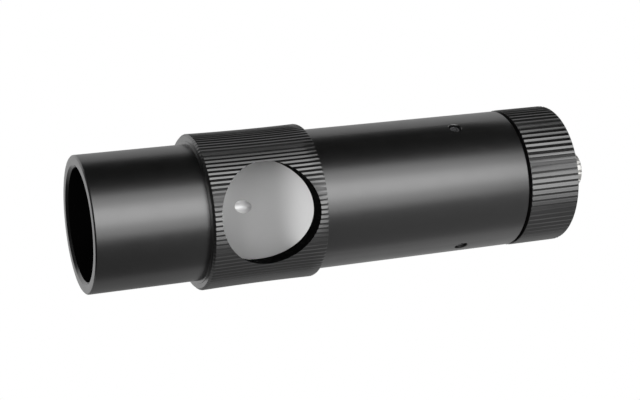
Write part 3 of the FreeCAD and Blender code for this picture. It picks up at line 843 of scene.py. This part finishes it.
@dataclass
class LaserInside(Assembly):
    """Carrier, laser module and battery inside the tube."""

    def make(self) -> None:
        """Dresses the inner pieces, and winds the two springs from round wire."""
        self.dress("laser_carrier", BLACK_ANODISED)
        self.dress("pivot_ring", NITRILE_RUBBER)
        for node in ("laser_barrel", "lens_cell", "diode_holder"):
            self.dress(node, TURNED_BRASS)
        self.dress("collimating_lens", CROWN_GLASS)
        self.dress("laser_diode", GOLD_FLASH)
        self.dress("driver_board", EPOXY_BOARD)
        self.dress("battery_holder", MOULDED_ABS)
        self.dress("coin_cell", CELL_STEEL)
        wind_spring(self, "lens_spring", wire=0.5, pitch=1.45)
        wind_spring(self, "contact_spring", wire=0.6, pitch=2.4)


def wind_spring(assembly: Assembly, node: str, wire: float, pitch: float) -> bpy.types.Object:
    """Winds a spring of round wire inside the box of its CAD node.

    Args:
        assembly: The assembly that the spring belongs to.
        node: The CAD node that it replaces.
        wire: Thickness of the wire, in millimetres.
        pitch: Rise of one turn.

    Returns:
        The new spring.
    """
    low, high = assembly.box(node)
    turns = (high.z - low.z - wire) / pitch
    mesh = helix(high.x - wire / 2, wire, low.z, high.z, turns)
    return assembly.stand_in(node, mesh, SPRING_WIRE, "spring_steel", sharp_degrees=60)


@dataclass
class SealRing(Assembly):
    """Rubber ring in the gap between tube and cap. Its rounding is a share of its height."""

    inner_radius: float = 14.65
    rounding: float = 0.3

    def make(self) -> None:
        """Turns the ring with a rounded section."""
        low, high = self.box("seal_ring")
        soft = (high.z - low.z) * self.rounding
        mesh = lathe([
            (self.inner_radius, low.z, 0),
            (high.x, low.z, soft),
            (high.x, high.z, soft),
            (self.inner_radius, high.z, 0),
        ])
        self.stand_in("seal_ring", mesh, NITRILE_RUBBER, "rubber")


@dataclass
class RearCap(Ribbed):
    """Ribbed battery cap with its threaded spigot.

    The ribbed part starts at front. The spigot has no thread over plain_front at its end and
    plain_rear next to the ribbed part, and the switch goes through the hole in the end wall.
    """

    ribs: int = 76
    rib_depth: float = 0.215
    root: float = 0.37
    steps: int = 5
    front: float = 106.54
    front_bevel: float = 0.1
    bevel: float = 0.15
    rear_edge: float = 0.05
    spigot_radius: float = 14.55
    thread_depth: float = 0.5
    thread_pitch: float = 1.0
    plain_front: float = 0.5
    plain_rear: float = 0.4
    bore_radius: float = 11.5
    hole_radius: float = 3.55
    end_wall: float = 3.0

    def make(self) -> None:
        """Turns the cap and presses its ribs."""
        low, high = self.box("rear_cap")
        outside = high.x
        thread = ridges(self.spigot_radius, self.thread_depth, self.thread_pitch,
                        low.z + self.plain_front, self.front - self.plain_rear)
        mesh = lathe([
            (self.bore_radius, low.z, 0),
            (self.spigot_radius - self.thread_depth, low.z, 0),
            *thread,
            (self.spigot_radius - self.thread_depth, self.front, 0),
            (outside - self.front_bevel, self.front, 0),
            (outside, self.front + self.front_bevel, 0),
            (outside, high.z - self.bevel, 0),
            (outside - self.bevel, high.z, self.rear_edge),
            (self.hole_radius, high.z, 0),
            (self.hole_radius, high.z - self.end_wall, 0),
            (self.bore_radius, high.z - self.end_wall, 0),
        ], self.ribs * self.steps)
        press_ribs(mesh, outside, self.ribs, self.steps, self.sink, self.front, high.z)
        self.stand_in("rear_cap", mesh, RIBBED_ANODISED, "ribbed_anodised", sharp_degrees=24)


@dataclass
class TailSwitch(Assembly):
    """Push switch in the cap's end wall, with its button.

    Attributes:
        nut_bevels: What they take off the nut's corners: radius and height at the bottom, then
            radius and height at the top.
        stop_radius: Radius of the flange that keeps the button in.
        flute_steps: Steps of the button's blank for each flute.
        flute_width: Width of a flute, as a share of the way to the next.
        flute_centre: Place of the first flute's middle, as such a share.
        travel: How far the button goes in; not used.
    """

    bore_radius: float = 2.45
    neck_radius: float = 3.5
    neck_bottom: float = 116.2
    thread_depth: float = 0.3
    thread_pitch: float = 0.6
    plain_bottom: float = 0.3
    plain_top: float = 0.2
    nut_across_flats: float = 9.0
    nut_bevels: tuple[float, float, float, float] = (0.3, 0.17, 0.52, 0.3)
    hole_radius: float = 3.55
    steps: int = 128
    stem_radius: float = 2.4
    head_bottom: float = 123.1
    stop_radius: float = 3.4
    stop_height: float = 1.3
    flutes: int = 12
    flute_steps: int = 16
    flute_depth: float = 0.4
    flute_width: float = 0.32
    flute_centre: float = 0.11
    travel: float = 1.0

    def sink(self, share: float) -> float:
        """Depth of a flute: a V between flat lands."""
        apart = abs(share - self.flute_centre)
        apart = min(apart, 1 - apart)
        return self.flute_depth * max(0.0, 1 - 2 * apart / self.flute_width)

    def make_button(self) -> None:
        """Turns the push button and presses its flutes."""
        low, high = self.box("push_button")
        head = high.x
        mesh = lathe([
            (0, low.z, 0),
            (self.stop_radius, low.z, 0.1),
            (self.stop_radius, low.z + self.stop_height, 0.1),
            (self.stem_radius, low.z + self.stop_height, 0),
            (self.stem_radius, self.head_bottom, 0),
            (head, self.head_bottom, 0.15),
            (head, high.z, 0.45),
            (0, high.z, 0),
        ], self.flutes * self.flute_steps)
        press_ribs(mesh, head, self.flutes, self.flute_steps, self.sink, self.head_bottom, high.z)
        cap_body, self.body = self.body, "button"
        self.stand_in("push_button", mesh, NICKEL_PLATE, "chrome", sharp_degrees=35)
        self.body = cap_body

    def make_neck(self) -> None:
        """Turns the threaded neck on its flange."""
        low, high = self.box("switch_bushing")
        root = self.neck_radius - self.thread_depth
        thread = ridges(self.neck_radius, self.thread_depth, self.thread_pitch,
                        self.neck_bottom + self.plain_bottom, high.z - self.plain_top)
        neck = lathe([
            (self.bore_radius, low.z, 0),
            (high.x, low.z, 0.1),
            (high.x, self.neck_bottom, 0.1),
            (root, self.neck_bottom, 0),
            *thread,
            (root, high.z, 0),
            (self.bore_radius, high.z, 0),
        ], self.steps)
        self.stand_in("switch_bushing", neck, NICKEL_PLATE, "chrome")

    def make_washer(self) -> None:
        """Turns the washer."""
        low, high = self.box("switch_washer")
        washer = lathe([
            (self.hole_radius, low.z, 0),
            (high.x, low.z, 0.08),
            (high.x, high.z, 0.12),
            (self.hole_radius, high.z, 0.08),
        ], self.steps)
        self.stand_in("switch_washer", washer, NICKEL_PLATE, "chrome")

    def make_nut(self) -> None:
        """Turns the nut with its bevels, and keeps the hexagon of it."""
        low, high = self.box("switch_nut")
        corner = hexagon_radius(self.nut_across_flats)
        bottom_in, bottom_up, top_in, top_down = self.nut_bevels
        beyond = 1.0
        blank = lathe([
            (self.hole_radius, low.z, 0.1),
            (corner - bottom_in, low.z, 0),
            (corner, low.z + bottom_up, 0),
            (corner, high.z - top_down, 0),
            (corner - top_in, high.z, 0),
            (self.hole_radius, high.z, 0.1),
        ], self.steps)
        hexagon = rod(corner, low.z - beyond, high.z + beyond, 6)
        nut = carve(blank, [hexagon], Cut.KEEP_SHARED)
        self.stand_in("switch_nut", nut, NICKEL_PLATE, "chrome")

    def make(self) -> None:
        """Makes the switch from its terminal to its button."""
        self.dress("switch_body", MOULDED_ABS)
        self.dress("switch_terminal", TURNED_BRASS)
        self.make_neck()
        self.make_washer()
        self.make_nut()
        self.make_button()
        low, high = self.box("button_spring")
        coil = wind_spring(self, "button_spring", wire=0.5, pitch=1.5)
        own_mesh(coil)
        wind_spring(self, "tail_spring", wire=0.6, pitch=1.3)


@dataclass(frozen=True)
class Camera:
    """The camera that the photograph's outlines were fitted with."""

    place_mm: tuple[float, float, float] = (-48.18, -343.587, -71.476)
    turn_degrees: tuple[float, float, float] = (163.2495, -68.5394, -80.1425)
    lens_mm: float = 87.43
    sensor_mm: float = 36.0
    near_m: float = 0.01
    far_m: float = 20.0

    def make(self) -> None:
        """Places the camera and makes it the scene's."""
        data = bpy.data.cameras.new("camera")
        data.lens = self.lens_mm
        data.sensor_width = self.sensor_mm
        data.sensor_fit = "HORIZONTAL"
        data.clip_start = self.near_m
        data.clip_end = self.far_m
        camera = bpy.data.objects.new("camera", data)
        camera.location = Vector(self.place_mm) * MM
        camera.rotation_euler = Euler([math.radians(a) for a in self.turn_degrees], "XYZ")
        bpy.context.scene.collection.objects.link(camera)
        bpy.context.scene.camera = camera


@dataclass(frozen=True)
class SoftBox:
    """One area lamp, facing a point on the axis.

    Attributes:
        name: The lamp's name.
        place_mm: Where it hangs.
        size_mm: Its width across the tube and its length along it.
        level: How bright it is, where 1 is white.
        aim_mm: Height of the point on the axis that it faces.
        mirrored: False for a lamp that glossy surfaces don't show.
    """

    name: str
    place_mm: tuple[float, float, float]
    size_mm: tuple[float, float]
    level: float
    aim_mm: float
    mirrored: bool = True

    def make(self) -> None:
        """Hangs the lamp, its long side in line with the tube."""
        data = bpy.data.lights.new(self.name, "AREA")
        data.shape = "RECTANGLE"
        data.size, data.size_y = (side * MM for side in self.size_mm)
        data.energy = math.pi * self.level * data.size * data.size_y
        lamp = bpy.data.objects.new(self.name, data)
        place = Vector(self.place_mm) * MM
        away = (place - Vector((0, 0, self.aim_mm * MM))).normalized()
        across = Vector((0, 0, 1)).cross(away).normalized()
        turn = Matrix((across, away.cross(across), away)).transposed()
        lamp.matrix_world = Matrix.Translation(place) @ turn.to_4x4()
        lamp.visible_camera = False
        lamp.visible_glossy = self.mirrored
        bpy.context.scene.collection.objects.link(lamp)


@dataclass(frozen=True)
class Card:
    """A curved card round the tube, seen only by reflections.

    Attributes:
        name: The card's name.
        start_degrees: Where it starts, round the axis from +X.
        turn_degrees: How far it goes round.
        level: How bright it is, where 1 is white.
        low_mm: Height of its lower edge.
        high_mm: Height of its upper edge.
        radius_mm: Its distance from the axis, behind the lamps.
        steps: Flat stretches of its bend.
    """

    name: str
    start_degrees: float
    turn_degrees: float
    level: float
    low_mm: float = -1400.0
    high_mm: float = 1400.0
    radius_mm: float = 750.0
    steps: int = 24

    def make(self) -> None:
        """Bends the card from one upright edge."""
        mesh = bmesh.new()
        turn = Matrix.Rotation(math.radians(self.start_degrees), 3, "Z")
        ends = [mesh.verts.new(turn @ Vector((self.radius_mm, 0, height)) * MM)
                for height in (self.low_mm, self.high_mm)]
        edge = mesh.edges.new(ends)
        bmesh.ops.spin(mesh, geom=[*ends, edge], cent=(0, 0, 0), axis=(0, 0, 1), dvec=(0, 0, 0),
                       angle=math.radians(self.turn_degrees), steps=self.steps, use_merge=False)
        reflected_only(as_object(self.name, mesh), self.level)


@dataclass(frozen=True)
class Lid:
    """A round card past the nose, seen only by reflections.

    Attributes:
        radius_mm: Its radius.
        drop_mm: How far it is from the nose.
        level: How bright it is, where 1 is white.
        sides: Its number of sides.
    """

    radius_mm: float = 240.0
    drop_mm: float = 200.0
    level: float = 0.01
    sides: int = 64

    def make(self) -> None:
        """Makes the disc."""
        mesh = bmesh.new()
        bmesh.ops.create_circle(mesh, cap_ends=True, segments=self.sides,
                                radius=self.radius_mm * MM,
                                matrix=Matrix.Translation((0, 0, -self.drop_mm * MM)))
        reflected_only(as_object("nose_lid", mesh), self.level)


def reflected_only(card: bpy.types.Object, level: float) -> None:
    """Makes a card glow evenly, and hides it from everything but reflections.

    Args:
        card: The card.
        level: How bright it is, where 1 is white.
    """
    material = bpy.data.materials.new(card.name)
    tree = empty_tree(material)
    glow = add_node(tree, "ShaderNodeEmission",
                    {"Color": (level, level, level, 1), "Strength": 1.0})
    add_node(tree, "ShaderNodeOutputMaterial", links={"Surface": glow.outputs[0]})
    card.data.materials.append(material)
    card.visible_camera = card.visible_diffuse = card.visible_shadow = False


@dataclass
class Studio:
    """White surroundings, a pale floor, soft lamps and cards.

    Attributes:
        fill: Light from all round on matt surfaces, where 1 is white.
        floor_glow: What the floor shows beside its own colour, where 1 is white.
        floor_near_mm: Radius where the floor starts to fade.
        floor_far_mm: Radius where it has gone.
        floor_half_mm: Half the length of the floor's sides.
        floor_drop_mm: How far the floor is under the part.
    """

    fill: float = 0.25
    floor_colour: str = "#f2f2f2"
    floor_glow: float = 0.5
    floor_near_mm: float = 120.0
    floor_far_mm: float = 420.0
    floor_half_mm: float = 3000.0
    floor_drop_mm: float = 0.2
    lamps: tuple[SoftBox, ...] = field(default_factory=lambda: (
        SoftBox("wide_softbox", (-147, -499, 192), (735, 984), 1.2, 192),
        SoftBox("core_softbox", (-138, -481, 192), (249, 984), 1.27, 192),
        SoftBox("nose_softbox", (-20, -110, -450), (260, 260), 4.0, 45, mirrored=False),
        SoftBox("low_softbox", (140, -230, -430), (200, 200), 19.0, 45, mirrored=False),
    ))
    cards: tuple[Card, ...] = field(default_factory=lambda: (
        Card("pale_card_low", 62.0, 84.0, 0.85, high_mm=0.0),
        Card("pale_card_high", 62.0, 84.0, 0.56, low_mm=0.0),
        Card("black_card", 146.0, 147.0, 0.01),
        Card("grey_card_low", 293.0, 73.0, 0.11, high_mm=250.0),
        Card("grey_card_high", 293.0, 73.0, 0.22, low_mm=250.0),
        Card("dim_card_low", 6.0, 56.0, 0.3, high_mm=250.0),
        Card("dim_card_high", 6.0, 56.0, 0.5, low_mm=250.0),
    ))
    lid: Lid = field(default_factory=Lid)

    def make(self) -> None:
        """Makes the studio."""
        self.make_world()
        self.make_floor()
        for lamp in self.lamps:
            lamp.make()
        for card in self.cards:
            card.make()
        self.lid.make()

    def make_world(self) -> None:
        """White to the camera, reflections and glass, and a soft fill to everything else."""
        world = bpy.data.worlds.new("studio_white")
        tree = empty_tree(world)
        path = add_node(tree, "ShaderNodeLightPath")
        seen = path.outputs["Is Camera Ray"]
        for ray in ("Is Glossy Ray", "Is Transmission Ray"):
            seen = add_node(tree, "ShaderNodeMath", {"operation": "MAXIMUM"},
                            {0: seen, 1: path.outputs[ray]}).outputs[0]
        level = add_node(tree, "ShaderNodeMapRange", {"To Min": self.fill, "To Max": 1.0},
                         {"Value": seen})
        background = add_node(tree, "ShaderNodeBackground", {"Color": (1, 1, 1, 1)},
                              {"Strength": level.outputs[0]})
        add_node(tree, "ShaderNodeOutputWorld", links={"Surface": background.outputs[0]})
        bpy.context.scene.world = world

    def make_floor(self) -> None:
        """A pale floor, seen only from above, that keeps the shadow and fades to white far out."""
        mesh = bmesh.new()
        bmesh.ops.create_grid(mesh, x_segments=1, y_segments=1, size=self.floor_half_mm * MM)
        bmesh.ops.translate(mesh, vec=(0, 0, -self.floor_drop_mm * MM), verts=mesh.verts[:])
        floor = as_object("floor", mesh)
        material = bpy.data.materials.new("pale_floor")
        tree = empty_tree(material)
        path = add_node(tree, "ShaderNodeLightPath")
        side = add_node(tree, "ShaderNodeNewGeometry")
        upper = add_node(tree, "ShaderNodeMath", {"operation": "SUBTRACT", 0: 1.0},
                         {1: side.outputs["Backfacing"]})
        place = add_node(tree, "ShaderNodeTexCoord")
        radius = add_node(tree, "ShaderNodeVectorMath", {"operation": "LENGTH"},
                          {0: place.outputs["Object"]})
        near = add_node(tree, "ShaderNodeMapRange",
                        {"From Min": self.floor_near_mm * MM, "From Max": self.floor_far_mm * MM,
                         "To Min": 1.0, "To Max": 0.0}, {"Value": radius.outputs["Value"]})
        shown = upper.outputs[0]
        for factor in (path.outputs["Is Camera Ray"], near.outputs[0]):
            shown = add_node(tree, "ShaderNodeMath", {"operation": "MULTIPLY"},
                             {0: shown, 1: factor}).outputs[0]
        clear = add_node(tree, "ShaderNodeBsdfTransparent")
        pale = add_node(tree, "ShaderNodeBsdfDiffuse", {"Color": linear(self.floor_colour)})
        white = add_node(tree, "ShaderNodeEmission",
                         {"Color": (1, 1, 1, 1), "Strength": self.floor_glow})
        lit = add_node(tree, "ShaderNodeAddShader", links={0: pale.outputs[0], 1: white.outputs[0]})
        mix = add_node(tree, "ShaderNodeMixShader",
                       links={0: shown, 1: clear.outputs[0], 2: lit.outputs[0]})
        add_node(tree, "ShaderNodeOutputMaterial", links={"Surface": mix.outputs[0]})
        floor.data.materials.append(material)


def main() -> None:
    """Builds the sub-assemblies in order, then the studio and the camera."""
    logging.basicConfig(level=logging.INFO, format="%(name)s: %(message)s")
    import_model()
    screws = AdjustingScrews("screw_1")
    NoseAndTube("tube").make(screws)
    screws.make()
    WindowCollar("tube").make()
    TargetPlug("tube").make()
    LaserInside("tube").make()
    SealRing("seal").make()
    RearCap("cap").make()
    TailSwitch("cap").make()
    Studio().make()
    Camera().make()
    bpy.context.scene.view_settings.view_transform = "Standard"


if __name__ == "__main__":
    main()
